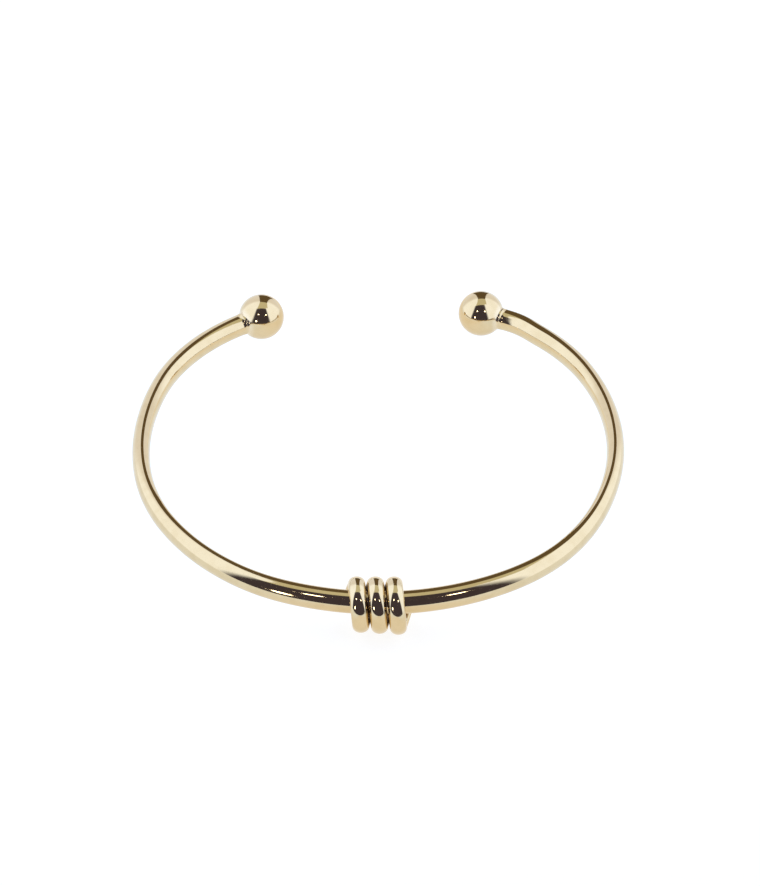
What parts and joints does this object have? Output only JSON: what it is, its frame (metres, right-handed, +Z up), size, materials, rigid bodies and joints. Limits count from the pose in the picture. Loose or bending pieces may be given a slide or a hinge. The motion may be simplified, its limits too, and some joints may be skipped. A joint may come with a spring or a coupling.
{
  "type": "open torque bangle with wire wrap",
  "caption": "Open round-bar bangle that goes over the wrist sideways, with a ball soldered on each end and a coil of oval wire wound round the middle of its front.",
  "frame": {"origin": "on the table, under the middle of the whole bangle as it lies on its side", "axes": "+Z up, along the arm; the coil of wire is at the front, towards -Y, and the gap between the balls at the back, towards +Y; +X to the right as seen from the front"},
  "size_m": [0.0646, 0.0654, 0.0073],
  "materials": {
    "bar_gold": "mirror polished gold",
    "wire_gold": "polished paler gold"
  },
  "bodies": {
    "root": {"bangle": "bar_gold", "wire_wrap": "wire_gold"}
  },
  "joints": []
}
